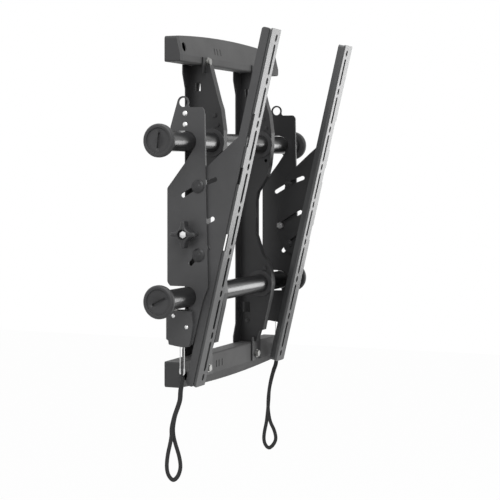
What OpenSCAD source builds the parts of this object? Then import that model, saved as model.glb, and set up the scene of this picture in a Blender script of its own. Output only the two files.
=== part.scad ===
// Wall mount for a flat screen: two rails and two uprights on the wall carry two
// round tubes, and two tilting brackets hang on the tubes and slide along them.
// Millimetres, +Z up, the wall is the plane y = 0 and the screen side is -Y.
// The origin is the middle of the four wall slots, on the wall.

/* [Wall frame] */
// Overall width of the wall rails with their end caps
frame_w = 500; // [480:2:540]
// Thickness of the folded wall frame sheet
frame_t = 2.5; // [2:0.1:3]
// End to end length of a wall slot
lag_slot = 22; // [18:1:28]
// Width of a wall slot, for the lag bolt
lag_d = 9; // [8:0.5:10]

/* [Tubes] */
// Outside diameter of the two cross tubes
tube_d = 38.1; // [37:0.1:39]
// Length of each tube between its end caps
tube_len = 658; // [640:2:700]
// How far the tubes stand to one side in the wall frame
tube_shift = -34; // [-40:1:-10]
// Diameter of a tube end cap
cap_d = 62; // [56:1:64]

/* [Brackets] */
// Distance between the slot columns of the two display rails
bracket_span = 400; // [390:1:410]
// Where the middle between the brackets stands
bracket_shift = -14; // [-18:1:-8]
// Thickness of the carrier sheet
plate_t = 2.8; // [2.4:0.1:3]
// Length of a display rail
rail_len = 695; // [670:5:720]
// Width of the slots in a display rail
slot_w = 8.7; // [8:0.1:9.5]
// Forward tilt of the display rails as drawn, the full tilt
tilt = 13.2; // [10:0.1:14]
// Diameter of the locking knob
knob_d = 52; // [46:1:56]

/* [Hidden] */
$fn = 48;
e = 0.01;
gap = 0.35;
tube_r = tube_d / 2;
tube_y = -47.9;
tube_z = 147.1;
// Middle height of the wall frame above the middle between the tubes
mid_z = 14;
cap_long = 12;
rail_in = 286;
rail_mid = 53;
rail_end = 44.5;
rail_deep = 32.9;
lag_x = frame_w / 2 - cap_long - lag_slot / 2 - 3;
lag_z = 315;
back = -2.5;
up_l = -138.3;
up_r = 109.3;
up_w = 18;
up_top = 299.6;
up_foot = -271.6;
hinge_y = -202.5;
hinge_z = -215;
seen = 13.2;
pin_r = 4;
pin_up = [-71.3, 62.2];
pin_low = [-72.3, -67.6];
knob_at = [-52.2, -28.2];
pitch = 82.55;
face_y = -88.3;
face_z = -2;
wire_x = -41.1;
wire_y = -40;
wire_r = 0.9;
wire_gap = 4.35;

near_route = [[-38.4, -300], [-37.6, -310], [-35, -325], [-33.6, -342], [-28.8, -357],
  [-22.5, -374], [-17, -396], [-16.5, -412], [-13.5, -427], [-8.5, -448], [-6.2, -470],
  [-9.4, -486], [-19, -495], [-29, -487], [-34.3, -470], [-31.5, -450], [-24, -428],
  [-19.5, -412], [-18.5, -396], [-22.5, -374], [-28.8, -357], [-33.6, -342], [-35, -325],
  [-37.6, -310], [-38.4, -300]];
far_route = [[-38.4, -300], [-38, -309], [-36.5, -320], [-34.5, -334], [-29.5, -348],
  [-23.5, -368], [-18.5, -390], [-17, -412], [-15, -436], [-12, -462], [-7.5, -484],
  [-6.2, -500], [-9.5, -512], [-18, -519], [-28, -512], [-34.8, -498], [-31.5, -480],
  [-22, -460], [-17.5, -436], [-17.5, -412], [-20, -390], [-24, -368], [-29.5, -348],
  [-34.5, -334], [-36.5, -320], [-38, -309], [-38.4, -300]];

front_edge = [[-43, 293], [-60, 230], [-66, 212], [-71.5, 171], [-70.5, 135], [-66.5, 103],
  [-60.5, 78], [-39, 46], [-35.5, 29], [-35.5, -45], [-50, -87], [-65.5, -107], [-71, -128],
  [-73, -148], [-68, -175], [-58.5, -215], [-52, -246], [-43, -248.5], [-36, -271.6]];

carrier_edge = [[-26.4, 226, 1], [-10.7, 174.2, 3], [-14, 167.3, 2], [-45.4, 167.3, 0],
  [-58.4, 131.1, 0], [-41.6, 106.6, 6], [-4.5, 59, 6], [-4.5, -120, 8], [-10.5, -127, 3],
  [-41, -127, 0], [-50, -170.6, 0], [-4.5, -172, 3], [-4.5, -228, 4], [-14, -238, 4],
  [-57, -238, 5], [-68, -194.5, 8], [-79, -153, 8], [-89.5, -127, 8], [-82, 206, 7],
  [-77, 212, 5], [-50, 212, 4], [-48, 223, 1]];

wing_edge = [[-76, -90, 8], [-60, -82, 6], [-55, -70, 10], [-42, -38, 8], [-41, -22, 8],
  [-45, 0, 10], [-54, 30, 10], [-61, 60, 8], [-64, 76, 6], [-85.9, 100, 8], [-119.1, 129.6, 8]];

cover_edge = [[-2.6, -173, 2], [-2.6, -227.6, 1], [-6.8, -230.3, 1], [-7.9, -237.8, 2],
  [-26.9, -240.7, 1], [-39.5, -242, 1], [-50, -240, 3], [-53.1, -230, 2], [-58.4, -199.6, 4],
  [-55.6, -173, 2]];

// Corner rounding for outlines given as [y, z, radius]
function unit(v) = v / norm(v);
function flat(p) = [p[0], p[1]];
function turn(a0, a1) = ((a1 - a0 + 900) % 360) - 180;
function bend(a, b, c, r) =
  let (u = unit(a - b), w = unit(c - b))
  let (h = acos(u * w) / 2, o = b + unit(u + w) * r / sin(h))
  let (p = b + u * r / tan(h) - o, q = b + w * r / tan(h) - o)
  let (a0 = atan2(p[1], p[0]), d = turn(a0, atan2(q[1], q[0])))
  [for (k = [0:5]) o + r * [cos(a0 + d * k / 5), sin(a0 + d * k / 5)]];
function near_by(p, i, s) = flat(p[(i + len(p) + s) % len(p)]);
function soften(p) = [for (i = [0:len(p) - 1])
  each (p[i][2] > 0 ? bend(near_by(p, i, -1), flat(p[i]), near_by(p, i, 1), p[i][2])
    : [flat(p[i])])];
function shift(p) = [for (q = p) [q[0] + back, q[1], q[2]]];

// A slot bent round the tilt axis, from angle a0 to a1
function on_arc(r, a) = [hinge_y + r * cos(a), hinge_z + r * sin(a)];
function end_arc(c, w, a) = [for (k = [1:7]) c + w * [cos(a + k * 22.5), sin(a + k * 22.5)]];
function arc_slot(r, a0, a1, w) = concat(
  [for (k = [0:8]) on_arc(r + w, a0 + (a1 - a0) * k / 8)], end_arc(on_arc(r, a1), w, a1),
  [for (k = [0:8]) on_arc(r - w, a1 + (a0 - a1) * k / 8)],
  end_arc(on_arc(r, a0), w, a0 + 180));
function reach(p) = norm([p[0] - hinge_y, p[1] - hinge_z]);
function angle(p) = atan2(p[1] - hinge_z, p[0] - hinge_y);

// A flat strap swept along a route, wide across the route and thin along x. Its two
// ends fold over the foot of the wire loop and meet there.
function along(p, i) = unit(p[min(i + 1, len(p) - 1)] - p[max(i - 1, 0)]);
function fold(i, n) = i < 3 ? 1 : (i > n - 4 ? -1 : 0);
function cross_way(t, f) = f == 0 ? unit([0, -t[2], t[1]]) : [0, f, 0];
function wide(i, n) = (i < 4 || i > n - 5) ? 2.25 : ((i < 5 || i > n - 6) ? 3.4 : 4.1);
function thick(i, n) = (i < 5 || i > n - 6) ? 1.15 : 1.3;
function ring(p, i) =
  let (n = len(p), t = along(p, i), s = cross_way(t, fold(i, n)), b = cross(t, s))
  [for (k = [0:9]) p[i] + s * wide(i, n) * cos(k * 36) + b * thick(i, n) * sin(k * 36)];
function ply(i, n) = i < n / 2 ? -1 : 1;
function apart(i, n) = min(1, abs(i - (n - 1) / 2) * 4.8 / (n - 1));
function strap_x(i, n) = (i < 1 || i > n - 2 ? 3 : 1.75) * ply(i, n) * apart(i, n);
function over(s, y) = [[s * 0.15, y, -291.25], [s * 2.19, y, -292.16], [s * 3.1, y, -294.35]];
function strap_line(r) = let (n = len(r), a = over(-1, r[0][0]), b = over(1, r[0][0]))
  concat(a, [for (i = [0:n - 1]) [strap_x(i, n), r[i][0], r[i][1]]], [b[2], b[1], b[0]]);

module strap(route) {
  p = strap_line(route);
  n = len(p);
  skin = [for (i = [0:n - 1]) each ring(p, i)];
  body = [for (i = [0:n - 2], k = [0:9])
    [i * 10 + k, i * 10 + (k + 1) % 10, (i + 1) * 10 + (k + 1) % 10, (i + 1) * 10 + k]];
  lids = [[for (k = [0:9]) 9 - k], [for (k = [0:9]) (n - 1) * 10 + k]];
  polyhedron(points = skin, faces = concat(body, lids));
}

module set_up() {
  translate([0, 0, -mid_z]) children();
}

// A plate standing across the x axis, its outline given in y and z
module slab(x, t, p) {
  translate([x, 0, 0]) rotate([90, 0, 90]) linear_extrude(t) polygon(p);
}

// A plate lying against the wall plane, its outline given in x and z
module panel(y, t, p) {
  translate([0, y + t, 0]) rotate([90, 0, 0]) linear_extrude(t) polygon(p);
}

module rod(x, long, r, y, z) {
  translate([x, y, z]) rotate([0, 90, 0]) cylinder(h = long, r = r);
}

module post(y, long, r, x, z) {
  translate([x, y, z]) rotate([-90, 0, 0]) cylinder(h = long, r = r);
}

module on_left() {
  set_up() translate([bracket_shift - bracket_span / 2, 0, 0]) children();
}

module on_right() {
  set_up() translate([bracket_shift + bracket_span / 2, 0, 0]) mirror([1, 0, 0]) children();
}

module tipped(a) {
  translate([0, hinge_y, hinge_z]) rotate([a, 0, 0]) translate([0, -hinge_y, -hinge_z]) children();
}

// Wall rail, drawn for the upper one with z measured from the frame middle
module crown(w, y0, y1, drop) {
  r = (w * w + 8.5 * 8.5) / 17;
  post(y0, y1 - y0, r - drop, 0, rail_in + rail_mid + 5.5 - r, $fn = 1440);
}
function section(s, d, r) = soften([[1, rail_in + d, 0],
  [-rail_deep + d, rail_in + d, r], [-rail_deep + d, rail_in + s, 0],
  [-22 + d, rail_in + 60, 0], [1, rail_in + 60, 0]]);

module rail_body(s, m) {
  w = frame_w / 2 - cap_long;
  difference() {
    intersection() {
      slab(-w, 2 * w, section(s, 0, 4));
      crown(w, -60, 0, 0);
    }
    intersection() {
      slab(-w - 1, 2 * w + 2, section(s, frame_t, 2));
      crown(w, -61, -frame_t, frame_t);
    }
    for (n = [-1, 1]) {
      post(-60, 60 - frame_t - 1, 9, n * lag_x, lag_z);
      for (k = [-1, 1]) post(-5, 6, lag_d / 2, n * lag_x + k * (lag_slot - lag_d) / 2, lag_z);
      translate([n * lag_x - (lag_slot - lag_d) / 2, -5, lag_z - lag_d / 2])
        cube([lag_slot - lag_d, 6, lag_d]);
    }
    for (x = [-82, -69, -54]) translate([m * x - 2, -60, s < 20 ? 309.5 : 302.5]) cube([4, 55, 13]);
    for (x = [up_l, up_r]) post(-60, 50, 3.3, m * (x + up_w / 2), bolt_h(s));
  }
}
function bolt_h(s) = s < 20 ? 292.5 : 311;

module rail_cap(s, m) {
  w = frame_w / 2;
  intersection() {
    slab(m < 0 ? -w : w - cap_long, cap_long, section(s, 0, 4));
    panel(-60, 60, soften([[-w, rail_in, 3], [-w, rail_in + 49.5, 6], [w, rail_in + 49.5, 6],
      [w, rail_in, 3]]));
  }
}

module upper_wall_rail() {
  color([0.38, 0.38, 0.38]) rail_body(14, 1);
}

module lower_wall_rail() {
  color([0.5, 0.5, 0.5]) rotate([0, 180, 0]) rail_body(39, -1);
}

module upper_left_end_cap() {
  color([0.1, 0.1, 0.1]) rail_cap(14, -1);
}

module upper_right_end_cap() {
  color([0.1, 0.1, 0.1]) rail_cap(14, 1);
}

module lower_left_end_cap() {
  color([0.1, 0.1, 0.1]) mirror([0, 0, 1]) rail_cap(39, -1);
}

module lower_right_end_cap() {
  color([0.1, 0.1, 0.1]) mirror([0, 0, 1]) rail_cap(39, 1);
}

// Upright: a hat channel bent to follow the two tubes
function up_edge(d) = concat([[4 + d, up_top], [-41 + back + d, up_top]],
  [for (q = front_edge) [q[0] + back + d, q[1]]], [[4 + d, up_foot]]);
function foot(x, s) = [[x, up_foot], [x - 34 * s, up_foot], [x - 34 * s, -258], [x - 22 * s, -232],
  [x - 22 * s, 252], [x - 34 * s, 282], [x - 34 * s, up_top], [x, up_top]];

module upright(x) {
  set_up() difference() {
    union() {
      intersection() {
        slab(x, up_w, up_edge(0));
        translate([x - 1, -120, -400]) cube([up_w + 2, 120, 800]);
      }
      panel(-frame_t, frame_t, foot(x + e, 1));
      panel(-frame_t, frame_t, foot(x + up_w - e, -1));
      translate([x - 13, -36, 284]) cube([up_w + 26, 2.8, 30.5]);
      translate([x - 13, -36, -311]) cube([up_w + 26, 2.8, 50]);
    }
    slab(x + frame_t, up_w - 2 * frame_t, up_edge(3.5));
    for (z = [-tube_z, tube_z]) rod(x - 1, up_w + 2, tube_r + 3.3, tube_y, z);
    rod(x - 1, frame_t + 2, 3.4, -61.1, 112.6);
    translate([x - 1, -23.9, 249]) cube([up_w + 2, 10.9, 16]);
    translate([x - 1, -24.5, -209]) cube([frame_t + 2, 18, 21]);
    for (z = [mid_z + bolt_h(14), mid_z - bolt_h(39)]) post(-60, 50, 3.3, x + up_w / 2, z);
  }
}

module left_upright() {
  color([0.3, 0.3, 0.3]) upright(up_l);
}

module right_upright() {
  color([0.3, 0.3, 0.3]) upright(up_r);
}

module tube(z) {
  x = tube_shift - tube_len / 2;
  set_up() difference() {
    rod(x, tube_len, tube_r, tube_y, z);
    rod(x - 1, tube_len + 2, tube_r - 1.8, tube_y, z);
  }
}

module upper_tube() {
  color([0.05, 0.05, 0.05]) tube(tube_z);
}

module lower_tube() {
  color([0.05, 0.05, 0.05]) tube(-tube_z);
}

module bushing(x, z) {
  set_up() difference() {
    union() {
      rod(x - 3, 3, 28, tube_y, z);
      rod(x - e, up_w + 2, tube_r + 3, tube_y, z);
    }
    rod(x - 5, up_w + 10, tube_r + 0.05, tube_y, z);
  }
}

module upper_left_bushing() {
  color([0.12, 0.12, 0.12]) bushing(up_l, tube_z);
}

module upper_right_bushing() {
  color([0.12, 0.12, 0.12]) bushing(up_r, tube_z);
}

module lower_left_bushing() {
  color([0.12, 0.12, 0.12]) bushing(up_l, -tube_z);
}

module lower_right_bushing() {
  color([0.12, 0.12, 0.12]) bushing(up_r, -tube_z);
}

// Tube cap: a round plug with a thick rounded rim and a coin slot in its dished face
cap_shape = soften([[0, 8.8, 0], [cap_d / 2 - 8.5, 8.8, 0.6], [cap_d / 2 - 7.5, 11.8, 1],
  [cap_d / 2 - 3, 12, 1.5], [cap_d / 2, 8.5, 1.5], [cap_d / 2, 0, 4.5], [tube_r - 2.1, 0, 0],
  [tube_r - 2.1, -12, 1.5], [0, -12, 0]]);

module tube_cap(s, z, a) {
  set_up() translate([tube_shift + s * tube_len / 2, tube_y, z]) rotate([0, s * 90, 0])
    difference() {
      rotate_extrude() polygon(cap_shape);
      rotate([0, 0, a]) translate([-14, -2, 7]) cube([28, 4, 6]);
    }
}

module upper_left_tube_cap() {
  color([0.08, 0.08, 0.08]) tube_cap(-1, tube_z, 8);
}

module upper_right_tube_cap() {
  color([0.08, 0.08, 0.08]) tube_cap(1, tube_z, 35);
}

module lower_left_tube_cap() {
  color([0.08, 0.08, 0.08]) tube_cap(-1, -tube_z, 118);
}

module lower_right_tube_cap() {
  color([0.08, 0.08, 0.08]) tube_cap(1, -tube_z, 20);
}

screw_at = [[-54.5, 201], [-60.5, 181.5], [-58.5, -114.6], [-18, -227]];

module upright_screws() {
  color([0.6, 0.6, 0.6]) set_up() for (x = [up_l, up_r], q = screw_at) {
    rod(x - 2.2, 2.2, 4.6, q[0], q[1]);
    rod(x - 3.4, 1.3, 3.2, q[0], q[1]);
  }
}

module lock_bolts() {
  color([0.2, 0.2, 0.2]) for (x = [up_l, up_r], z = [bolt_h(14), -bolt_h(39)]) {
    post(-42, 4.3, 6.5, x + up_w / 2, z);
    post(-38, 26, 3, x + up_w / 2, z);
  }
}

module lock_washers() {
  color([0.85, 0.85, 0.85]) for (x = [up_l, up_r], z = [bolt_h(14), -bolt_h(39)]) difference() {
    post(-37.7, 1.7, 8.5, x + up_w / 2, z);
    post(-45, 20, 3.2, x + up_w / 2, z);
  }
}

// Bracket pieces, drawn for the left bracket with x = 0 on the display rail's slot column
module arc_cut(x, t, p, a0, a1) {
  slab(x, t, arc_slot(reach(p), angle(p) + a0, angle(p) + a1, pin_r + gap));
}

module carrier() {
  difference() {
    union() {
      slab(-38, plate_t, soften(shift(carrier_edge)));
      rod(-38, plate_t, 12, -40.1, 221.6);
      slab(-36, 3, soften(shift([[-82.2, 200, 0], [-79.2, 200, 0], [-86.2, -116, 0], [-89.2, -116, 0]])));
    }
    rod(-40, 8, 8.75, -40.1, 221.6);
    rod(-40, 8, tube_r + gap, tube_y, tube_z);
    rod(-40, 8, tube_r + gap, tube_y, -tube_z);
    rod(-40, 8, pin_r + 0.08, knob_at[0], knob_at[1]);
    arc_cut(-40, 8, pin_up, -tilt / 2, 0);
    arc_cut(-40, 8, pin_low, -tilt / 2, 0);
  }
}

module latch_cover() {
  difference() {
    translate([0, -3.4, 0]) slab(-46, 8, soften(shift(cover_edge)));
    translate([-44.2, -50.5, -260]) cube([7.2, 38.5, 100]);
  }
}

module rivets() {
  for (q = [[-44.3, 200.5], [-44.5, 179.4]]) {
    rod(-39.2, 1.2, 5.2, q[0], q[1]);
    rod(-40.2, 1.1, 3.4, q[0], q[1]);
  }
  for (q = [[-23.5, -183], [-51.1, -203.5]]) {
    rod(-47.2, 1.2, 4, q[0], q[1]);
    rod(-48, 1, 2.6, q[0], q[1]);
  }
}

module latch_pawl() {
  difference() {
    slab(wire_x - 2.8, 5.6, soften([[-29.5, -155, 2], [-16, -155, 3], [-12.3, -177, 3],
      [-12.3, -234, 2], [-50.2, -234, 2], [-50.2, -179, 3], [-31, -179, 1]]));
    for (s = [-1, 1]) translate([wire_x, wire_y + s * wire_gap, -236])
      cylinder(h = 10, r = wire_r);
  }
}

module wire_loop() {
  for (s = [-1, 1]) translate([wire_x, wire_y + s * wire_gap, -290]) {
    cylinder(h = 64, r = wire_r);
    cylinder(h = 7, r = 1.7);
  }
  translate([wire_x, wire_y, -290]) rotate([0, 90, 0]) rotate([0, 0, -90])
    rotate_extrude(angle = 180) translate([wire_gap, 0]) circle(r = 1.7);
}

module pull_cord(route) {
  translate([wire_x, -1.6, 0]) strap(route);
}

module knob() {
  difference() {
    union() {
      rod(-48, 10 - gap, 12, knob_at[0], knob_at[1]);
      difference() {
        rod(-68, 20.5, knob_d / 2, knob_at[0], knob_at[1]);
        for (a = [45:90:315])
          rod(-70, 24, knob_d * 0.32, knob_at[0] + knob_d * 0.57 * cos(a),
            knob_at[1] + knob_d * 0.57 * sin(a));
      }
    }
    rod(-69, 9, 9.5, knob_at[0], knob_at[1]);
    rod(-70, 40, pin_r + 0.02, knob_at[0], knob_at[1]);
  }
}

module knob_bolt() {
  rod(-62, 38, pin_r, knob_at[0], knob_at[1]);
  translate([-65, knob_at[0], knob_at[1]]) rotate([0, 90, 0]) linear_extrude(5) circle(r = 7.4, $fn = 6);
}

module knob_nut() {
  difference() {
    translate([-32 + 3 + gap, knob_at[0], knob_at[1]]) rotate([0, 90, 0])
      linear_extrude(4.5) circle(r = 7.4, $fn = 6);
    rod(-35, 20, pin_r + 0.02, knob_at[0], knob_at[1]);
  }
}

module guide(p) {
  rod(-38 - gap - 1.4, 1.4, 13, p[0], p[1]);
  rod(-38 - gap - 2.6, 1.3, 9.5, p[0], p[1]);
  rod(-40, 14.4, pin_r, p[0], p[1]);
  rod(-29 + gap, 1.6, 7.5, p[0], p[1]);
  rod(-35.2 + gap, 2.5, 7, p[0], p[1]);
}

function stood(p) = let (y = p[0] + back - hinge_y, z = p[1] - hinge_z)
  [hinge_y + y * cos(seen) + z * sin(seen), hinge_z - y * sin(seen) + z * cos(seen), p[2]];
function plate_edge(h, y0, y1) = concat([[y0, face_z - h, 3], [y1, face_z - h, 9], [y1, -136, 4]],
  [for (q = wing_edge) stood(q)], [[y1, 134, 4], [y1, face_z + h, 5], [y0, face_z + h, 3]]);

module tilt_plate() {
  tipped(tilt) difference() {
    slab(-32, 3, soften(plate_edge(rail_len / 2 - 1, face_y + 4, face_y + 19.3)));
    arc_cut(-34, 8, pin_up, -tilt, -tilt / 2);
    arc_cut(-34, 8, pin_low, -tilt, -tilt / 2);
    arc_cut(-34, 8, knob_at, -tilt, 0);
  }
}

function channel(w0, w1, d, t) = soften([[w0, 0, 3], [w1, 0, 5], [w1, d, 0], [w1 - t, d, 0],
  [w1 - t, t, 2.4], [w0 + t, t, 1], [w0 + t, d, 0], [w0, d, 0]]);

module rail_slot(z, long) {
  post(-1, 6, slot_w / 2, 0, z - (long - slot_w) / 2);
  post(-1, 6, slot_w / 2, 0, z + (long - slot_w) / 2);
  translate([-slot_w / 2, -1, z - (long - slot_w) / 2]) cube([slot_w, 6, long - slot_w]);
}

module display_rail() {
  h = rail_len / 2;
  tipped(tilt) translate([0, face_y, face_z]) difference() {
    intersection() {
      translate([0, 0, -h]) linear_extrude(2 * h) polygon(channel(-29, 20, 15, 2.5));
      panel(-1, 20, soften([[-29, -h, 7], [20, -h, 7], [20, h, 7], [-29, h, 7]]));
    }
    for (k = [-4:4]) rail_slot(k * pitch, 14);
    for (k = [-4:3]) rail_slot((k + 0.5) * pitch, 59);
    for (q = [[120.5, 63.5], [48.5, 32.5], [-79.5, 32]]) translate([-30, -1, q[0]]) cube([7, 5, q[1]]);
  }
}

module left_carrier() {
  color([0.28, 0.28, 0.28]) on_left() carrier();
}

module left_latch_cover() {
  color([0.28, 0.28, 0.28]) on_left() latch_cover();
}

module left_rivets() {
  color([0.8, 0.8, 0.8]) on_left() rivets();
}

module left_latch_pawl() {
  color([0.6, 0.6, 0.6]) on_left() latch_pawl();
}

module left_wire_loop() {
  color([0.85, 0.85, 0.85]) on_left() wire_loop();
}

module left_pull_cord() {
  color([0.1, 0.1, 0.1]) on_left() pull_cord(near_route);
}

module left_knob() {
  color([0.08, 0.08, 0.08]) on_left() knob();
}

module left_knob_bolt() {
  color([0.8, 0.8, 0.8]) on_left() knob_bolt();
}

module left_knob_nut() {
  color([0.8, 0.8, 0.8]) on_left() knob_nut();
}

module left_upper_guide() {
  color([0.25, 0.25, 0.25]) on_left() guide(pin_up);
}

module left_lower_guide() {
  color([0.25, 0.25, 0.25]) on_left() guide(pin_low);
}

module left_tilt_plate() {
  color([0.25, 0.25, 0.25]) on_left() tilt_plate();
}

module left_display_rail() {
  color([0.3, 0.3, 0.3]) on_left() display_rail();
}

module right_carrier() {
  color([0.28, 0.28, 0.28]) on_right() carrier();
}

module right_latch_cover() {
  color([0.28, 0.28, 0.28]) on_right() latch_cover();
}

module right_rivets() {
  color([0.8, 0.8, 0.8]) on_right() rivets();
}

module right_latch_pawl() {
  color([0.6, 0.6, 0.6]) on_right() latch_pawl();
}

module right_wire_loop() {
  color([0.85, 0.85, 0.85]) on_right() wire_loop();
}

module right_pull_cord() {
  color([0.1, 0.1, 0.1]) on_right() pull_cord(far_route);
}

module right_knob() {
  color([0.08, 0.08, 0.08]) on_right() knob();
}

module right_knob_bolt() {
  color([0.8, 0.8, 0.8]) on_right() knob_bolt();
}

module right_knob_nut() {
  color([0.8, 0.8, 0.8]) on_right() knob_nut();
}

module right_upper_guide() {
  color([0.25, 0.25, 0.25]) on_right() guide(pin_up);
}

module right_lower_guide() {
  color([0.25, 0.25, 0.25]) on_right() guide(pin_low);
}

module right_tilt_plate() {
  color([0.25, 0.25, 0.25]) on_right() tilt_plate();
}

module right_display_rail() {
  color([0.3, 0.3, 0.3]) on_right() display_rail();
}

upper_wall_rail();
lower_wall_rail();
upper_left_end_cap();
upper_right_end_cap();
lower_left_end_cap();
lower_right_end_cap();
left_upright();
right_upright();
upper_tube();
lower_tube();
upper_left_bushing();
upper_right_bushing();
lower_left_bushing();
lower_right_bushing();
upper_left_tube_cap();
upper_right_tube_cap();
lower_left_tube_cap();
lower_right_tube_cap();
upright_screws();
lock_bolts();
lock_washers();
left_carrier();
left_latch_cover();
left_rivets();
left_latch_pawl();
left_wire_loop();
left_pull_cord();
left_knob();
left_knob_bolt();
left_knob_nut();
left_upper_guide();
left_lower_guide();
left_tilt_plate();
left_display_rail();
right_carrier();
right_latch_cover();
right_rivets();
right_latch_pawl();
right_wire_loop();
right_pull_cord();
right_knob();
right_knob_bolt();
right_knob_nut();
right_upper_guide();
right_lower_guide();
right_tilt_plate();
right_display_rail();
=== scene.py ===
import math

import bmesh
import bpy
from bpy.props import FloatProperty, FloatVectorProperty, PointerProperty
from mathutils import Matrix, Vector


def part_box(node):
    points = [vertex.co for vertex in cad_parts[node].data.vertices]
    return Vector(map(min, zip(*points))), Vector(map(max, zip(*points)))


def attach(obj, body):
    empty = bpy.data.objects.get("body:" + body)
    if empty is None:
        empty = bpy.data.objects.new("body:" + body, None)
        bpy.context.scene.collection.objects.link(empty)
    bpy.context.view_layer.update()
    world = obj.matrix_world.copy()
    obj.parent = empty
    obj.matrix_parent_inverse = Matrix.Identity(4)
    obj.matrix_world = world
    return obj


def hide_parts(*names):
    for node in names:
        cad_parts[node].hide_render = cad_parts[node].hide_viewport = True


bl_info = {
    "name": "Tilting Screen Wall Mount",
    "version": (1, 0, 0),
    "blender": (4, 5, 0),
    "location": "View3D > Sidebar > Wall Mount",
    "description": "Dresses the wall mount: paint, plating, knobs, caps, guide pins, straps and studio",
    "category": "Object",
}

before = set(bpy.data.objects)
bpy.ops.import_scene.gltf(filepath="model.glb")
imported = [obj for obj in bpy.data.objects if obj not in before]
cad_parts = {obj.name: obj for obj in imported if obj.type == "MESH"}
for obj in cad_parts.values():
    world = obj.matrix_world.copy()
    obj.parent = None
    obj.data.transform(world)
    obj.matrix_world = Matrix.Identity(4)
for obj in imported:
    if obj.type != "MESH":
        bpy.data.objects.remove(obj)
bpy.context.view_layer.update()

# Heights in the source are counted from the middle between the tubes, 14 mm above the frame's own
DROP = -0.014
SLOTS = {"left": -0.214, "right": 0.186}
OUT = {"left": -1, "right": 1}
KNOB_AT = (-0.0522, -0.0282 + DROP)
PINS = {"upper": (-0.0713, 0.0622 + DROP), "lower": (-0.0723, -0.0676 + DROP)}
WIRE_X = 0.0411

# The knob's scallops, as shares of its radius: how far out their middles lie, and their own radius
SCALLOP_OUT = 1.14
SCALLOP_RADIUS = 0.64
KNOB_STEPS = 128
# Share of white that the camera sees in the floor, the rest is the lit floor with its shadow
FLOOR_WHITE = 0.97
# Level of the surround as a light, and as it is seen
SURROUND_LIGHT = 0.5
SURROUND_SEEN = 1.0
# One unit of the weave's length along the strap, which sets a rib each millimetre
WEAVE_UNIT = 0.0032
STRAP_SIDES = 16
# Half the strap's width and thickness where it folds over the wire's foot, and how much it thickens
FOLD_HALF = 0.00225
FOLD_THICK = 0.00112
THICKER = 0.00012
# The wire's foot, and the fold over it as x and z from the foot's middle, in mm
FOOT_Z = -0.29435
FOLD = [(-0.15, 3.1), (-2.19, 2.19), (-3.1, 0.0)]
# How far each half lies from the strap's middle, in mm: at the foot and along the doubled part
APART_AT_FOOT = 3.0
APART = 1.75
# How fast the halves meet again in the hand loop, and how far the routes are moved forward, in mm
MEETING = 4.8
ROUTE_FORWARD = 1.6

# Domed rivets, in y and z
CARRIER_RIVETS = [(-0.0443, 0.2005), (-0.0445, 0.1794)]
COVER_RIVETS = [(-0.0235, -0.183), (-0.0511, -0.2035)]
# The turn of each cap's coin slot in degrees, where it isn't the usual one
SLOT_TURNS = {("upper", "left"): 6, ("lower", "left"): 64}
USUAL_SLOT_TURN = 30

# The routes of the two pull straps, in y and z from where each leaves its wire loop
NEAR_ROUTE = [
    (-38.4, -300), (-37.6, -310), (-35, -325), (-33.6, -342), (-28.8, -357), (-22.5, -374),
    (-17, -396), (-16.5, -412), (-13.5, -427), (-8.5, -448), (-6.2, -470), (-9.4, -486),
    (-19, -495), (-29, -487), (-34.3, -470), (-31.5, -450), (-24, -428), (-19.5, -412),
    (-18.5, -396), (-22.5, -374), (-28.8, -357), (-33.6, -342), (-35, -325), (-37.6, -310),
    (-38.4, -300),
]
FAR_ROUTE = [
    (-38.4, -300), (-38, -309), (-36.5, -320), (-34.5, -334), (-29.5, -348), (-23.5, -368),
    (-18.5, -390), (-17, -412), (-15, -436), (-12, -462), (-7.5, -484), (-6.2, -500),
    (-9.5, -512), (-18, -519), (-28, -512), (-34.8, -498), (-31.5, -480), (-22, -460),
    (-17.5, -436), (-17.5, -412), (-20, -390), (-24, -368), (-29.5, -348), (-34.5, -334),
    (-36.5, -320), (-38, -309), (-38.4, -300),
]


def colour(text):
    """Linear RGBA from an sRGB hex value."""
    parts = [int(text[i : i + 2], 16) / 255 for i in (1, 3, 5)]
    return [p / 12.92 if p <= 0.04045 else ((p + 0.055) / 1.055) ** 2.4 for p in parts] + [1.0]


def tint(name, text, note):
    return FloatVectorProperty(
        name=name, description=note, subtype="COLOR", size=4, min=0, max=1, default=colour(text)
    )


class MountSizes(bpy.types.PropertyGroup):
    knob_width: FloatProperty(
        name="Knob Width", description="Across opposite lobes of the locking knob",
        default=0.0519, min=0.04, max=0.056, unit="LENGTH",
    )
    knob_edge: FloatProperty(
        name="Knob Edge", description="Roundness of the knob's moulded edges",
        default=0.003, min=0.001, max=0.005, unit="LENGTH",
    )
    cap_width: FloatProperty(
        name="Cap Width", description="Diameter of a tube end cap",
        default=0.062, min=0.05, max=0.066, unit="LENGTH",
    )
    sheet_edge: FloatProperty(
        name="Sheet Edge", description="How far the paint rounds off the edge of pressed sheet",
        default=0.0007, min=0.0002, max=0.002, unit="LENGTH",
    )
    strap_width: FloatProperty(
        name="Strap Width", description="Width of the woven pull strap",
        default=0.0082, min=0.006, max=0.01, unit="LENGTH",
    )


class MountColours(bpy.types.PropertyGroup):
    near_paint: tint("Near Bracket Paint", "#464647", "Satin powder coat of the left bracket")
    # Painted shade: the far bracket's paint is the near paint darkened, standing in for the shade on
    # its inner side
    far_paint_painted_shade: tint("Far Bracket Paint", "#242425", "Satin powder coat of the right bracket")
    rail_paint: tint("Display Rail Paint", "#2b2c2d", "Dark satin grey of the display rails")
    frame_paint: tint("Wall Rail Paint", "#5c5c5c", "Grey powder coat of the wall rails")
    tube_paint: tint("Tube Paint", "#0a0a0b", "Gloss black of the cross tubes")
    cap_plastic: tint("Cap Plastic", "#363637", "Matte black of the end caps")
    strap_yarn: tint("Strap Yarn", "#1b1b1c", "Black yarn of the pull straps")


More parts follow.
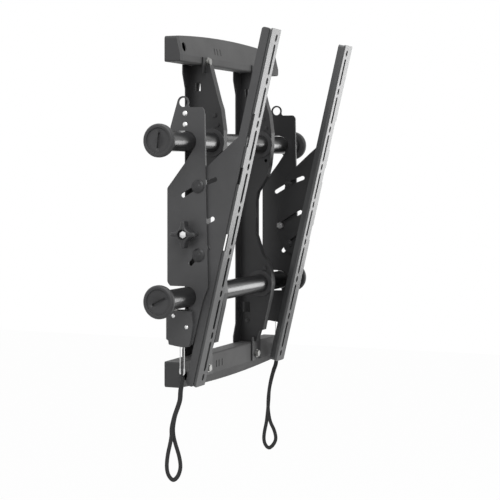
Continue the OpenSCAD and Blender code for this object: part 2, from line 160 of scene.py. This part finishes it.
def sizes():
    return bpy.context.scene.mount_sizes


def tints():
    return bpy.context.scene.mount_colours


# Materials


def add(tree, kind, links=(), **settings):
    """Adds one node: settings go on its own fields or input sockets, links are (socket, output)."""
    made = tree.nodes.new(kind)
    for key, value in settings.items():
        if hasattr(made, key):
            setattr(made, key, value)
        else:
            made.inputs[key.replace("_", " ")].default_value = value
    for socket, output in links:
        tree.links.new(output, made.inputs[socket])
    return made


def new_material(name):
    mat = bpy.data.materials.get(name)
    if mat:
        return mat, None, None
    mat = bpy.data.materials.new(name)
    mat.use_nodes = True
    tree = mat.node_tree
    shader = tree.nodes["Principled BSDF"]
    return mat, tree, shader


def where(tree):
    """The place on the object, which grain and mottle are drawn from."""
    return add(tree, "ShaderNodeTexCoord").outputs["Object"]


def coat(name, base, rough, grain, depth=0.25, shade=0.12, edge=True, clear=0.0, shine=0.5):
    """Paint or textured plastic: fine orange peel, faint cloudy shade, softened edges."""
    mat, tree, shader = new_material(name)
    if tree is None:
        return mat
    place = where(tree)
    cloud = add(tree, "ShaderNodeTexNoise", [("Vector", place)], Scale=14.0, Detail=4.0)
    darker = [c * (1 - shade) for c in base[:3]] + [1]
    lighter = [min(1, c * (1 + shade)) for c in base[:3]] + [1]
    ramp = add(tree, "ShaderNodeValToRGB", [("Fac", cloud.outputs["Fac"])])
    ramp.color_ramp.elements[0].position = 0.3
    ramp.color_ramp.elements[0].color = darker
    ramp.color_ramp.elements[1].position = 0.7
    ramp.color_ramp.elements[1].color = lighter
    tree.links.new(ramp.outputs["Color"], shader.inputs["Base Color"])
    fine = add(tree, "ShaderNodeTexNoise", [("Vector", place)], Scale=grain, Detail=3.0)
    spread = add(
        tree, "ShaderNodeMapRange", [("Value", fine.outputs["Fac"])], To_Min=rough - 0.05,
        To_Max=rough + 0.06,
    )
    tree.links.new(spread.outputs["Result"], shader.inputs["Roughness"])
    bump = add(
        tree, "ShaderNodeBump", [("Height", fine.outputs["Fac"])], Strength=depth, Distance=0.0002
    )
    if edge:
        soft = add(tree, "ShaderNodeBevel", samples=4, Radius=sizes().sheet_edge)
        tree.links.new(soft.outputs["Normal"], bump.inputs["Normal"])
    tree.links.new(bump.outputs["Normal"], shader.inputs["Normal"])
    shader.inputs["Specular IOR Level"].default_value = shine
    shader.inputs["Coat Weight"].default_value = clear
    shader.inputs["Coat Roughness"].default_value = 0.22
    return mat


def plating(name, base, rough, grain=900.0, depth=0.15):
    """Zinc or nickel plate over steel: bright, with a fine even grain."""
    mat, tree, shader = new_material(name)
    if tree is None:
        return mat
    place = where(tree)
    fine = add(tree, "ShaderNodeTexNoise", [("Vector", place)], Scale=grain, Detail=3.0)
    spread = add(
        tree, "ShaderNodeMapRange", [("Value", fine.outputs["Fac"])], To_Min=rough - 0.06,
        To_Max=rough + 0.1,
    )
    tree.links.new(spread.outputs["Result"], shader.inputs["Roughness"])
    bump = add(
        tree, "ShaderNodeBump", [("Height", fine.outputs["Fac"])], Strength=depth, Distance=0.0002
    )
    tree.links.new(bump.outputs["Normal"], shader.inputs["Normal"])
    shader.inputs["Base Color"].default_value = base
    shader.inputs["Metallic"].default_value = 1.0
    return mat


def satin_powder_near():
    # Baked polyester powder on pressed steel: satin, grain about 1 mm drawn coarse to show
    return coat("satin_powder_coat_near", tints().near_paint, 0.42, 900.0)


def satin_powder_far_painted_shade():
    # The same paint on the far bracket, darkened as painted shade for the shade on its inner side
    return coat("satin_powder_coat_far_painted_shade", tints().far_paint_painted_shade, 0.42, 900.0)


def rail_enamel():
    # Semi-gloss dark grey enamel on the slotted rails: it flares to pale grey at a low angle
    return coat(
        "semi_gloss_rail_enamel", tints().rail_paint, 0.36, 700.0, depth=0.1, clear=0.35, shine=0.9
    )


def grey_frame_powder():
    # Powder coat on the folded wall rails, a paler grey than the brackets
    return coat("grey_frame_powder_coat", tints().frame_paint, 0.58, 800.0, shine=0.25)


def gloss_tube_paint():
    # Gloss black enamel on drawn tube: deep black with one soft bright band along it
    return coat(
        "gloss_black_tube_enamel", tints().tube_paint, 0.3, 260.0, depth=0.01, edge=False,
        clear=0.5,
    )


def moulded_plastic():
    # Spark-textured ABS of caps, bushings and end pieces: matte, grain about 0.5 mm
    return coat("moulded_black_abs", tints().cap_plastic, 0.5, 1500.0, depth=0.35, shade=0.06)


def knob_plastic():
    # Glass-filled nylon of the locking knob: near black, slightly smoother than the caps
    return coat("moulded_black_nylon", tints().cap_plastic, 0.34, 1100.0, depth=0.3, shade=0.05)


def bright_plate():
    # Nickel plate on rivets, nuts and the wire: bright, with softly blurred reflections
    return plating("bright_nickel_plate", colour("#ececec"), 0.3)


def zinc_plate():
    # Zinc plate on lock bolts, washers and the latch pawl: greyer and softer
    return plating("dull_zinc_plate", colour("#9c9c9a"), 0.38)


def turned_steel():
    # Blackened turned steel of the guide pins and upright screws: dark, with a faint mottle
    mat, tree, shader = new_material("blackened_turned_steel")
    if tree is None:
        return mat
    place = where(tree)
    fine = add(tree, "ShaderNodeTexNoise", [("Vector", place)], Scale=600.0, Detail=4.0)
    big = add(tree, "ShaderNodeTexNoise", [("Vector", place)], Scale=90.0, Detail=4.0)
    ramp = add(tree, "ShaderNodeValToRGB", [("Fac", big.outputs["Fac"])])
    ramp.color_ramp.elements[0].color = colour("#262627")
    ramp.color_ramp.elements[1].color = colour("#4c4c4d")
    tree.links.new(ramp.outputs["Color"], shader.inputs["Base Color"])
    bump = add(
        tree, "ShaderNodeBump", [("Height", fine.outputs["Fac"])], Strength=0.4, Distance=0.0003
    )
    tree.links.new(bump.outputs["Normal"], shader.inputs["Normal"])
    shader.inputs["Metallic"].default_value = 0.5
    shader.inputs["Roughness"].default_value = 0.36
    return mat


def woven_strap():
    # Black polyester webbing: ribs across the strap about 1 mm apart, dull with a soft sheen
    mat, tree, shader = new_material("woven_black_polyester")
    if tree is None:
        return mat
    spot = add(tree, "ShaderNodeTexCoord")
    ribs = add(
        tree, "ShaderNodeTexWave", [("Vector", spot.outputs["UV"])], Scale=1.0, Distortion=0.6,
        wave_type="BANDS", bands_direction="Y",
    )
    threads = add(tree, "ShaderNodeTexNoise", [("Vector", spot.outputs["Object"])], Scale=2200.0)
    both = add(
        tree, "ShaderNodeMath",
        [(0, ribs.outputs["Fac"]), (1, threads.outputs["Fac"])], operation="ADD",
    )
    ramp = add(tree, "ShaderNodeValToRGB", [("Fac", ribs.outputs["Fac"])])
    ramp.color_ramp.elements[0].color = [c * 0.6 for c in tints().strap_yarn[:3]] + [1]
    ramp.color_ramp.elements[1].color = [min(1, c * 2.0) for c in tints().strap_yarn[:3]] + [1]
    tree.links.new(ramp.outputs["Color"], shader.inputs["Base Color"])
    bump = add(
        tree, "ShaderNodeBump", [("Height", both.outputs["Value"])], Strength=0.6, Distance=0.0004
    )
    tree.links.new(bump.outputs["Normal"], shader.inputs["Normal"])
    shader.inputs["Roughness"].default_value = 0.85
    shader.inputs["Sheen Weight"].default_value = 0.3
    return mat


def paint_node(node, mat):
    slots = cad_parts[node].data.materials
    slots.clear()
    slots.append(mat)


# Mesh helpers


def keep(bm, name, mat, body, smooth=35):
    """Turns a bmesh into a finished piece riding on a CAD body."""
    bmesh.ops.remove_doubles(bm, verts=bm.verts, dist=1e-6)
    bmesh.ops.recalc_face_normals(bm, faces=bm.faces)
    mesh = bpy.data.meshes.new(name)
    bm.to_mesh(mesh)
    bm.free()
    mesh.materials.append(mat)
    piece = bpy.data.objects.new(name, mesh)
    bpy.context.scene.collection.objects.link(piece)
    for face in mesh.polygons:
        face.use_smooth = True
    mesh.set_sharp_from_angle(angle=math.radians(smooth))
    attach(piece, body)
    return piece


def turned(bm, profile, axis_yz, x0, way, steps=72):
    """Spins a profile of (radius, distance) about an x axis; distance runs outwards from x0."""
    verts = [bm.verts.new((x0 + way * d, axis_yz[0], axis_yz[1] + r)) for r, d in profile]
    edges = [bm.edges.new((a, b)) for a, b in zip(verts, verts[1:])]
    bmesh.ops.spin(
        bm, geom=verts + edges, cent=(x0, axis_yz[0], axis_yz[1]), axis=(1, 0, 0),
        angle=math.tau, steps=steps, use_merge=True,
    )


def rounded(profile, radius, steps=5):
    """Rounds the inner corners of an open profile by the radius given for each point."""
    out = [profile[0]]
    for a, b, c, r in zip(profile, profile[1:], profile[2:], radius):
        if r <= 0:
            out.append(b)
            continue
        va, vb, vc = Vector(a), Vector(b), Vector(c)
        u, w = (va - vb).normalized(), (vc - vb).normalized()
        half = u.angle(w) / 2
        reach = r / math.tan(half)
        p, q = vb + u * reach, vb + w * reach
        for k in range(steps + 1):
            t = k / steps
            out.append(tuple((1 - t) ** 2 * p + 2 * t * (1 - t) * vb + t * t * q))
    out.append(profile[-1])
    return out


def prism(bm, outline, x0, x1):
    """A block between two x planes with an outline of (y, z) points."""
    face = bm.faces.new([bm.verts.new((x0, y, z)) for y, z in outline])
    up = bmesh.ops.extrude_face_region(bm, geom=[face])
    top = [v for v in up["geom"] if isinstance(v, bmesh.types.BMVert)]
    bmesh.ops.translate(bm, verts=top, vec=(x1 - x0, 0, 0))


def round_edges(bm, edges, width, segments=3):
    bmesh.ops.bevel(
        bm, geom=edges, offset=width, offset_type="OFFSET", segments=segments, profile=0.5,
        affect="EDGES", material=-1, clamp_overlap=True,
    )


# Pieces


def make_strap(side, route):
    way = OUT[side]
    n = len(route)
    width = sizes().strap_width
    x_mid = SLOTS[side] + way * WIRE_X
    points = []
    for i, (y, z) in enumerate(route):
        ply = -1 if i < n / 2 else 1
        away = min(1, abs(i - (n - 1) / 2) * MEETING / (n - 1))
        off = (APART_AT_FOOT if i in (0, n - 1) else APART) * ply * away
        points.append(
            Vector((x_mid - way * off / 1000, (y - ROUTE_FORWARD) / 1000, z / 1000 + DROP))
        )
    y = points[0].y
    top = FOOT_Z + DROP
    start = [Vector((x_mid - way * a / 1000, y, top + b / 1000)) for a, b in FOLD]
    finish = [Vector((x_mid + way * a / 1000, y, top + b / 1000)) for a, b in reversed(FOLD)]
    line = start + points + finish
    # A smooth curve through the route's points
    fine = []
    for i in range(len(line) - 1):
        a = line[max(i - 1, 0)]
        b, c = line[i], line[i + 1]
        d = line[min(i + 2, len(line) - 1)]
        parts = 4
        for k in range(parts):
            t = k / parts
            fine.append(
                0.5 * (2 * b + (c - a) * t + (2 * a - 5 * b + 4 * c - d) * t * t
                       + (3 * b - a - 3 * c + d) * t ** 3)
            )
    fine.append(line[-1])
    total = sum((b - a).length for a, b in zip(fine, fine[1:]))
    bm = bmesh.new()
    uv = bm.loops.layers.uv.new("weave")
    rings, run, runs = [], 0.0, []
    last = len(fine) - 1
    for i, p in enumerate(fine):
        if i:
            run += (p - fine[i - 1]).length
        runs.append(run)
        t = (fine[min(i + 1, last)] - fine[max(i - 1, 0)]).normalized()
        from_end = min(run, total - run)
        flat = Vector((0, -t.z, t.y))
        if from_end < 0.0065 or flat.length < 0.3:
            flat = Vector((0, 1 if run < total / 2 else -1, 0))
        flat.normalize()
        deep = t.cross(flat).normalized()
        grow = min(1, max(0, (from_end - 0.006) / 0.02))
        half = FOLD_HALF + (width / 2 - FOLD_HALF) * grow
        thick = FOLD_THICK + THICKER * grow
        ring = []
        for k in range(STRAP_SIDES):
            a = k * math.tau / STRAP_SIDES
            ca, sa = math.cos(a), math.sin(a)
            ca = math.copysign(abs(ca) ** 0.6, ca)
            sa = math.copysign(abs(sa) ** 0.75, sa)
            ring.append(bm.verts.new(p + flat * half * ca + deep * thick * sa))
        rings.append(ring)
    for i in range(last):
        for k in range(STRAP_SIDES):
            n2 = (k + 1) % STRAP_SIDES
            face = bm.faces.new((rings[i][k], rings[i][n2], rings[i + 1][n2], rings[i + 1][k]))
            for loop, (u, v) in zip(
                face.loops,
                ((k, runs[i]), (k + 1, runs[i]), (k + 1, runs[i + 1]), (k, runs[i + 1])),
            ):
                loop[uv].uv = (u / STRAP_SIDES, v / WEAVE_UNIT)
    bm.faces.new(rings[0])
    bm.faces.new(rings[-1])
    piece = keep(bm, f"{side}_strap_webbing", woven_strap(), f"{side}_latch", 60)
    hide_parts(f"{side}_pull_cord")


def make_knob(side):
    way = OUT[side]
    x0 = SLOTS[side] + way * 0.0475
    reach = sizes().knob_width / 2
    bm = bmesh.new()
    cy, cz = KNOB_AT
    reaches = []
    steps = KNOB_STEPS
    for k in range(steps):
        a = k * math.tau / steps
        # Four round scallops on the diagonals leave four narrow lobes
        off = (a % (math.pi / 2)) - math.pi / 4
        side_way = SCALLOP_OUT * math.sin(off)
        r = 1.0
        if abs(side_way) < SCALLOP_RADIUS:
            r = min(r, SCALLOP_OUT * math.cos(off) - math.sqrt(SCALLOP_RADIUS ** 2 - side_way ** 2))
        reaches.append(r * reach)
    for _ in range(2):
        reaches = [(reaches[k - 1] + 2 * reaches[k] + reaches[(k + 1) % steps]) / 4
                   for k in range(steps)]
    outline = [(cy + r * math.cos(k * math.tau / steps), cz + r * math.sin(k * math.tau / steps))
               for k, r in enumerate(reaches)]
    prism(bm, outline, x0, x0 + way * 0.0205)
    rim = [e for e in bm.edges if abs(e.verts[0].co.x - e.verts[1].co.x) < 1e-6]
    round_edges(bm, rim, sizes().knob_edge, 4)
    # The recess that holds the bolt head
    outer = max(
        bm.faces, key=lambda f: way * f.calc_center_median().x * 1000 + len(f.verts) * 0.001
    )
    bmesh.ops.inset_region(bm, faces=[outer], thickness=0.0022, depth=-0.0006)
    for v in outer.verts:
        d = Vector((0, v.co.y - cy, v.co.z - cz)).normalized()
        v.co.y, v.co.z = cy + d.y * 0.0098, cz + d.z * 0.0098
    down = bmesh.ops.extrude_face_region(bm, geom=[outer])
    low = [v for v in down["geom"] if isinstance(v, bmesh.types.BMVert)]
    bmesh.ops.translate(bm, verts=low, vec=(-way * 0.0082, 0, 0))
    bmesh.ops.delete(bm, geom=[outer], context="FACES_ONLY")
    hub = [(0.0, 0.0), (0.0118, 0.0), (0.0118, 0.0093), (0.0, 0.0093)]
    turned(bm, rounded(hub, [0.0008, 0.0]), KNOB_AT, SLOTS[side] + way * 0.0384, way, 48)
    piece = keep(bm, f"{side}_star_knob", knob_plastic(), f"{side}_knob", 40)
    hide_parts(f"{side}_knob")
    # Hex bolt head with a chamfered crown, in the recess
    bm = bmesh.new()
    corner = 0.0074
    turns = [math.radians(60 * k) for k in range(6)]
    head = [(cy + corner * math.sin(a), cz + corner * math.cos(a)) for a in turns]
    prism(bm, head, SLOTS[side] + way * 0.0603, SLOTS[side] + way * 0.0652)
    round_edges(bm, list(bm.edges), 0.0006, 3)
    shank = [(0.0, 0.0), (0.004, 0.0), (0.004, 0.036), (0.0, 0.036)]
    turned(bm, rounded(shank, [0.0006, 0.0]), KNOB_AT, SLOTS[side] + way * 0.0245, way, 32)
    piece = keep(bm, f"{side}_hex_bolt", bright_plate(), f"{side}_knob", 30)
    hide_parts(f"{side}_knob_bolt")


def make_guide(side, level):
    way = OUT[side]
    x = SLOTS[side]
    bm = bmesh.new()
    head = [(0.0, 0.0031), (0.0042, 0.0031), (0.0048, 0.0026), (0.0094, 0.00235), (0.0128, 0.0009),
            (0.0128, 0.0), (0.0, 0.0)]
    turned(bm, rounded(head, [0.0003, 0.0003, 0.001, 0.0004, 0.0]), PINS[level],
           x + way * 0.03838, way, 64)
    body = [(0.0, 0.0), (0.0038, 0.0), (0.0038, 0.0118), (0.0, 0.0118)]
    turned(bm, rounded(body, [0.0006, 0.0]), PINS[level], x + way * 0.0266, way, 32)
    spacer = [(0.0, 0.0), (0.0069, 0.0), (0.0069, 0.00245), (0.0, 0.00245)]
    turned(bm, rounded(spacer, [0.0003, 0.0003]), PINS[level], x + way * 0.0324, way, 48)
    clip = [(0.0, 0.0), (0.0074, 0.0), (0.0074, 0.0015), (0.0, 0.0015)]
    turned(bm, rounded(clip, [0.0005, 0.0003]), PINS[level], x + way * 0.0271, way, 48)
    piece = keep(bm, f"{side}_{level}_guide_pin", turned_steel(), f"{side}_guides", 40)
    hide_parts(f"{side}_{level}_guide")


def make_cap(side, level):
    node = f"{level}_{side}_tube_cap"
    low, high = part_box(node)
    way = OUT[side]
    axis = ((low.y + high.y) / 2, (low.z + high.z) / 2)
    face = (high.x if way > 0 else low.x) - way * 0.012
    r = sizes().cap_width / 2
    bm = bmesh.new()
    profile = [(0.0, 0.0084), (r - 0.0085, 0.0084), (r - 0.0072, 0.0118), (r - 0.003, 0.012),
               (r, 0.0085), (r, 0.0), (0.01695, 0.0), (0.01695, -0.012), (0.0, -0.012)]
    turned(bm, rounded(profile, [0.0005, 0.001, 0.0016, 0.0016, 0.004, 0.0004, 0.0012]),
           axis, face, way, 96)
    piece = keep(bm, f"{level}_{side}_round_cap", moulded_plastic(), "wall_frame", 50)
    # The coin slot is cut through the dished face
    turn = SLOT_TURNS.get((level, side), USUAL_SLOT_TURN)
    bm = bmesh.new()
    bmesh.ops.create_cube(bm, size=1)
    bmesh.ops.scale(bm, vec=(0.008, 0.0042, 0.028), verts=bm.verts)
    bmesh.ops.rotate(bm, verts=bm.verts, matrix=Matrix.Rotation(math.radians(turn), 3, "X"))
    bmesh.ops.translate(bm, verts=bm.verts, vec=(face + way * 0.0088, axis[0], axis[1]))
    mesh = bpy.data.meshes.new("slot_cutter")
    bm.to_mesh(mesh)
    bm.free()
    cutter = bpy.data.objects.new("slot_cutter", mesh)
    bpy.context.scene.collection.objects.link(cutter)
    cut = piece.modifiers.new("Coin Slot", "BOOLEAN")
    cut.operation, cut.solver, cut.object = "DIFFERENCE", "EXACT", cutter
    bpy.context.view_layer.update()
    graph = bpy.context.evaluated_depsgraph_get()
    done = bpy.data.meshes.new_from_object(piece.evaluated_get(graph))
    piece.modifiers.clear()
    piece.data = done
    bpy.data.objects.remove(cutter)
    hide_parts(node)


def make_rivets(side):
    way = OUT[side]
    x = SLOTS[side]
    bm = bmesh.new()
    dome = [(0.0, 0.0021), (0.003, 0.0019), (0.0049, 0.0007), (0.0051, 0.0), (0.0, 0.0)]
    small = [(0.0, 0.0021), (0.0022, 0.0019), (0.0037, 0.0007), (0.0039, 0.0), (0.0, 0.0)]
    for y, z in CARRIER_RIVETS:
        turned(bm, rounded(dome, [0.0008, 0.001, 0.0]), (y, z + DROP), x + way * 0.038, way, 32)
    for y, z in COVER_RIVETS:
        turned(bm, rounded(small, [0.0006, 0.0008, 0.0]), (y, z + DROP), x + way * 0.046, way, 28)
    piece = keep(bm, f"{side}_domed_rivets", bright_plate(), f"{side}_carrier", 60)
    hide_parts(f"{side}_rivets")


# Operators


class MOUNT_OT_camera(bpy.types.Operator):
    """Place the camera at the angle the mount is usually pictured from"""

    bl_idname = "mount.camera"
    bl_label = "Camera"

    def execute(self, context):
        cam = bpy.data.cameras.new("view_camera")
        cam.lens = 105.165
        cam.sensor_width = 36
        cam.shift_y = -0.164
        cam.clip_end = 50
        eye = bpy.data.objects.new("view_camera", cam)
        eye.location = (-2.7502, -1.2385, 0.0831)
        eye.rotation_euler = (math.radians(90), 0, math.radians(-67))
        context.scene.collection.objects.link(eye)
        context.scene.camera = eye
        return {"FINISHED"}


class MOUNT_OT_straps(bpy.types.Operator):
    """Weave the two pull straps through the feet of their wire loops"""

    bl_idname = "mount.straps"
    bl_label = "Pull Straps"

    def execute(self, context):
        make_strap("left", NEAR_ROUTE)
        make_strap("right", FAR_ROUTE)
        return {"FINISHED"}


class MOUNT_OT_knobs(bpy.types.Operator):
    """Mould the four-lobed locking knobs round their hex bolts"""

    bl_idname = "mount.knobs"
    bl_label = "Locking Knobs"

    def execute(self, context):
        make_knob("left")
        make_knob("right")
        return {"FINISHED"}


class MOUNT_OT_guides(bpy.types.Operator):
    """Turn the round-headed guide pins of the tilt slots"""

    bl_idname = "mount.guides"
    bl_label = "Guide Pins"

    def execute(self, context):
        for side in SLOTS:
            for level in PINS:
                make_guide(side, level)
        return {"FINISHED"}


class MOUNT_OT_caps(bpy.types.Operator):
    """Mould the round end caps of the tubes, with their coin slots"""

    bl_idname = "mount.caps"
    bl_label = "Tube Caps"

    def execute(self, context):
        for side in SLOTS:
            for level in ("upper", "lower"):
                make_cap(side, level)
        return {"FINISHED"}


class MOUNT_OT_rivets(bpy.types.Operator):
    """Set the domed rivets of the carriers and latch covers"""

    bl_idname = "mount.rivets"
    bl_label = "Rivets"

    def execute(self, context):
        make_rivets("left")
        make_rivets("right")
        return {"FINISHED"}


class MOUNT_OT_paint(bpy.types.Operator):
    """Paint and plate the pressed, folded and drawn pieces"""

    bl_idname = "mount.paint"
    bl_label = "Paint And Plate"

    def execute(self, context):
        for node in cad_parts:
            if node.startswith("left_") and node.endswith(("carrier", "latch_cover", "tilt_plate")):
                mat = satin_powder_near()
            elif node.endswith("display_rail"):
                mat = rail_enamel()
            elif node.endswith("wall_rail"):
                mat = grey_frame_powder()
            elif node.endswith("_tube"):
                mat = gloss_tube_paint()
            elif node.endswith(("cap", "bushing", "_knob")):
                mat = moulded_plastic()
            elif node.endswith(("rivets", "nut", "wire_loop", "knob_bolt")):
                mat = bright_plate()
            elif node.endswith(("bolts", "washers", "pawl")):
                mat = zinc_plate()
            elif node.endswith("cord"):
                mat = woven_strap()
            elif node.endswith(("guide", "screws")):
                mat = turned_steel()
            else:
                # Painted shade: the far bracket and the remaining pieces get the darkened copy of the
                # bracket paint
                mat = satin_powder_far_painted_shade()
            paint_node(node, mat)
        return {"FINISHED"}


class MOUNT_OT_studio(bpy.types.Operator):
    """Set the plain floor, the white surround and the soft lights"""

    bl_idname = "mount.studio"
    bl_label = "Studio"

    def execute(self, context):
        # A plain matte floor that meets the white surround; the camera sees it as pure white
        mat, tree, shader = new_material("white_studio_floor")
        if tree is not None:
            shader.inputs["Base Color"].default_value = colour("#f2f2f2")
            shader.inputs["Roughness"].default_value = 0.9
            white = add(tree, "ShaderNodeEmission", Strength=1.0)
            ray = add(tree, "ShaderNodeLightPath")
            share = add(
                tree, "ShaderNodeMath", [(0, ray.outputs["Is Camera Ray"])], operation="MULTIPLY"
            )
            share.inputs[1].default_value = FLOOR_WHITE
            both = add(
                tree, "ShaderNodeMixShader",
                [(0, share.outputs["Value"]), (1, shader.outputs["BSDF"]),
                 (2, white.outputs["Emission"])],
            )
            tree.links.new(both.outputs["Shader"], tree.nodes["Material Output"].inputs["Surface"])
        bm = bmesh.new()
        bmesh.ops.create_grid(bm, x_segments=1, y_segments=1, size=6)
        bmesh.ops.translate(bm, verts=bm.verts, vec=(0, 0, -1.05))
        mesh = bpy.data.meshes.new("studio_floor")
        bm.to_mesh(mesh)
        bm.free()
        mesh.materials.append(mat)
        floor = bpy.data.objects.new("studio_floor", mesh)
        context.scene.collection.objects.link(floor)

        world = bpy.data.worlds.new("white_surround")
        context.scene.world = world
        world.use_nodes = True
        tree = world.node_tree
        back = tree.nodes["Background"]
        back.inputs["Color"].default_value = (1, 1, 1, 1)
        ray = add(tree, "ShaderNodeLightPath")
        through = add(
            tree, "ShaderNodeMath",
            [(0, ray.outputs["Is Camera Ray"]), (1, ray.outputs["Is Transmission Ray"])],
            operation="MAXIMUM",
        )
        seen = add(
            tree, "ShaderNodeMath",
            [(0, through.outputs["Value"]), (1, ray.outputs["Is Glossy Ray"])],
            operation="MAXIMUM",
        )
        level = add(
            tree, "ShaderNodeMapRange", [("Value", seen.outputs["Value"])], To_Min=SURROUND_LIGHT,
            To_Max=SURROUND_SEEN,
        )
        tree.links.new(level.outputs["Result"], back.inputs["Strength"])

        def lamp(name, spot, aim, size, power):
            light = bpy.data.lights.new(name, "AREA")
            light.shape = "RECTANGLE"
            light.size, light.size_y = size
            light.energy = power
            one = bpy.data.objects.new(name, light)
            one.location = spot
            one.rotation_euler = (Vector(aim) - Vector(spot)).to_track_quat("-Z", "Y").to_euler()
            context.scene.collection.objects.link(one)

        lamp("key_softbox", (-2.0, -0.9, 1.5), (0, 0, 0), (1.2, 1.2), 26)
        lamp("rail_softbox", (2.6, -1.25, -0.25), (0, -0.1, 0.1), (1.0, 1.0), 10)
        lamp("top_softbox", (-0.3, -0.2, 2.2), (0, 0, 0), (1.4, 1.4), 16)
        return {"FINISHED"}


class MOUNT_PT_panel(bpy.types.Panel):
    bl_label = "Screen Wall Mount"
    bl_idname = "MOUNT_PT_panel"
    bl_space_type = "VIEW_3D"
    bl_region_type = "UI"
    bl_category = "Wall Mount"

    def draw(self, context):
        column = self.layout.column()
        for group in (context.scene.mount_sizes, context.scene.mount_colours):
            for name in group.bl_rna.properties.keys():
                if name not in ("rna_type", "name"):
                    column.prop(group, name)
        for operator in OPERATORS:
            column.operator(operator.bl_idname)


OPERATORS = (
    MOUNT_OT_camera, MOUNT_OT_straps, MOUNT_OT_paint, MOUNT_OT_knobs, MOUNT_OT_guides,
    MOUNT_OT_caps, MOUNT_OT_rivets, MOUNT_OT_studio,
)
CLASSES = (MountSizes, MountColours, *OPERATORS, MOUNT_PT_panel)


def register():
    for one in CLASSES:
        bpy.utils.register_class(one)
    bpy.types.Scene.mount_sizes = PointerProperty(type=MountSizes)
    bpy.types.Scene.mount_colours = PointerProperty(type=MountColours)


def unregister():
    del bpy.types.Scene.mount_colours
    del bpy.types.Scene.mount_sizes
    for one in reversed(CLASSES):
        bpy.utils.unregister_class(one)


def main():
    register()
    bpy.context.scene.view_settings.view_transform = "Standard"
    bpy.ops.mount.camera()
    bpy.ops.mount.straps()
    bpy.ops.mount.paint()
    bpy.ops.mount.knobs()
    bpy.ops.mount.guides()
    bpy.ops.mount.caps()
    bpy.ops.mount.rivets()
    bpy.ops.mount.studio()
    bpy.context.view_layer.update()


if __name__ == "__main__":
    main()
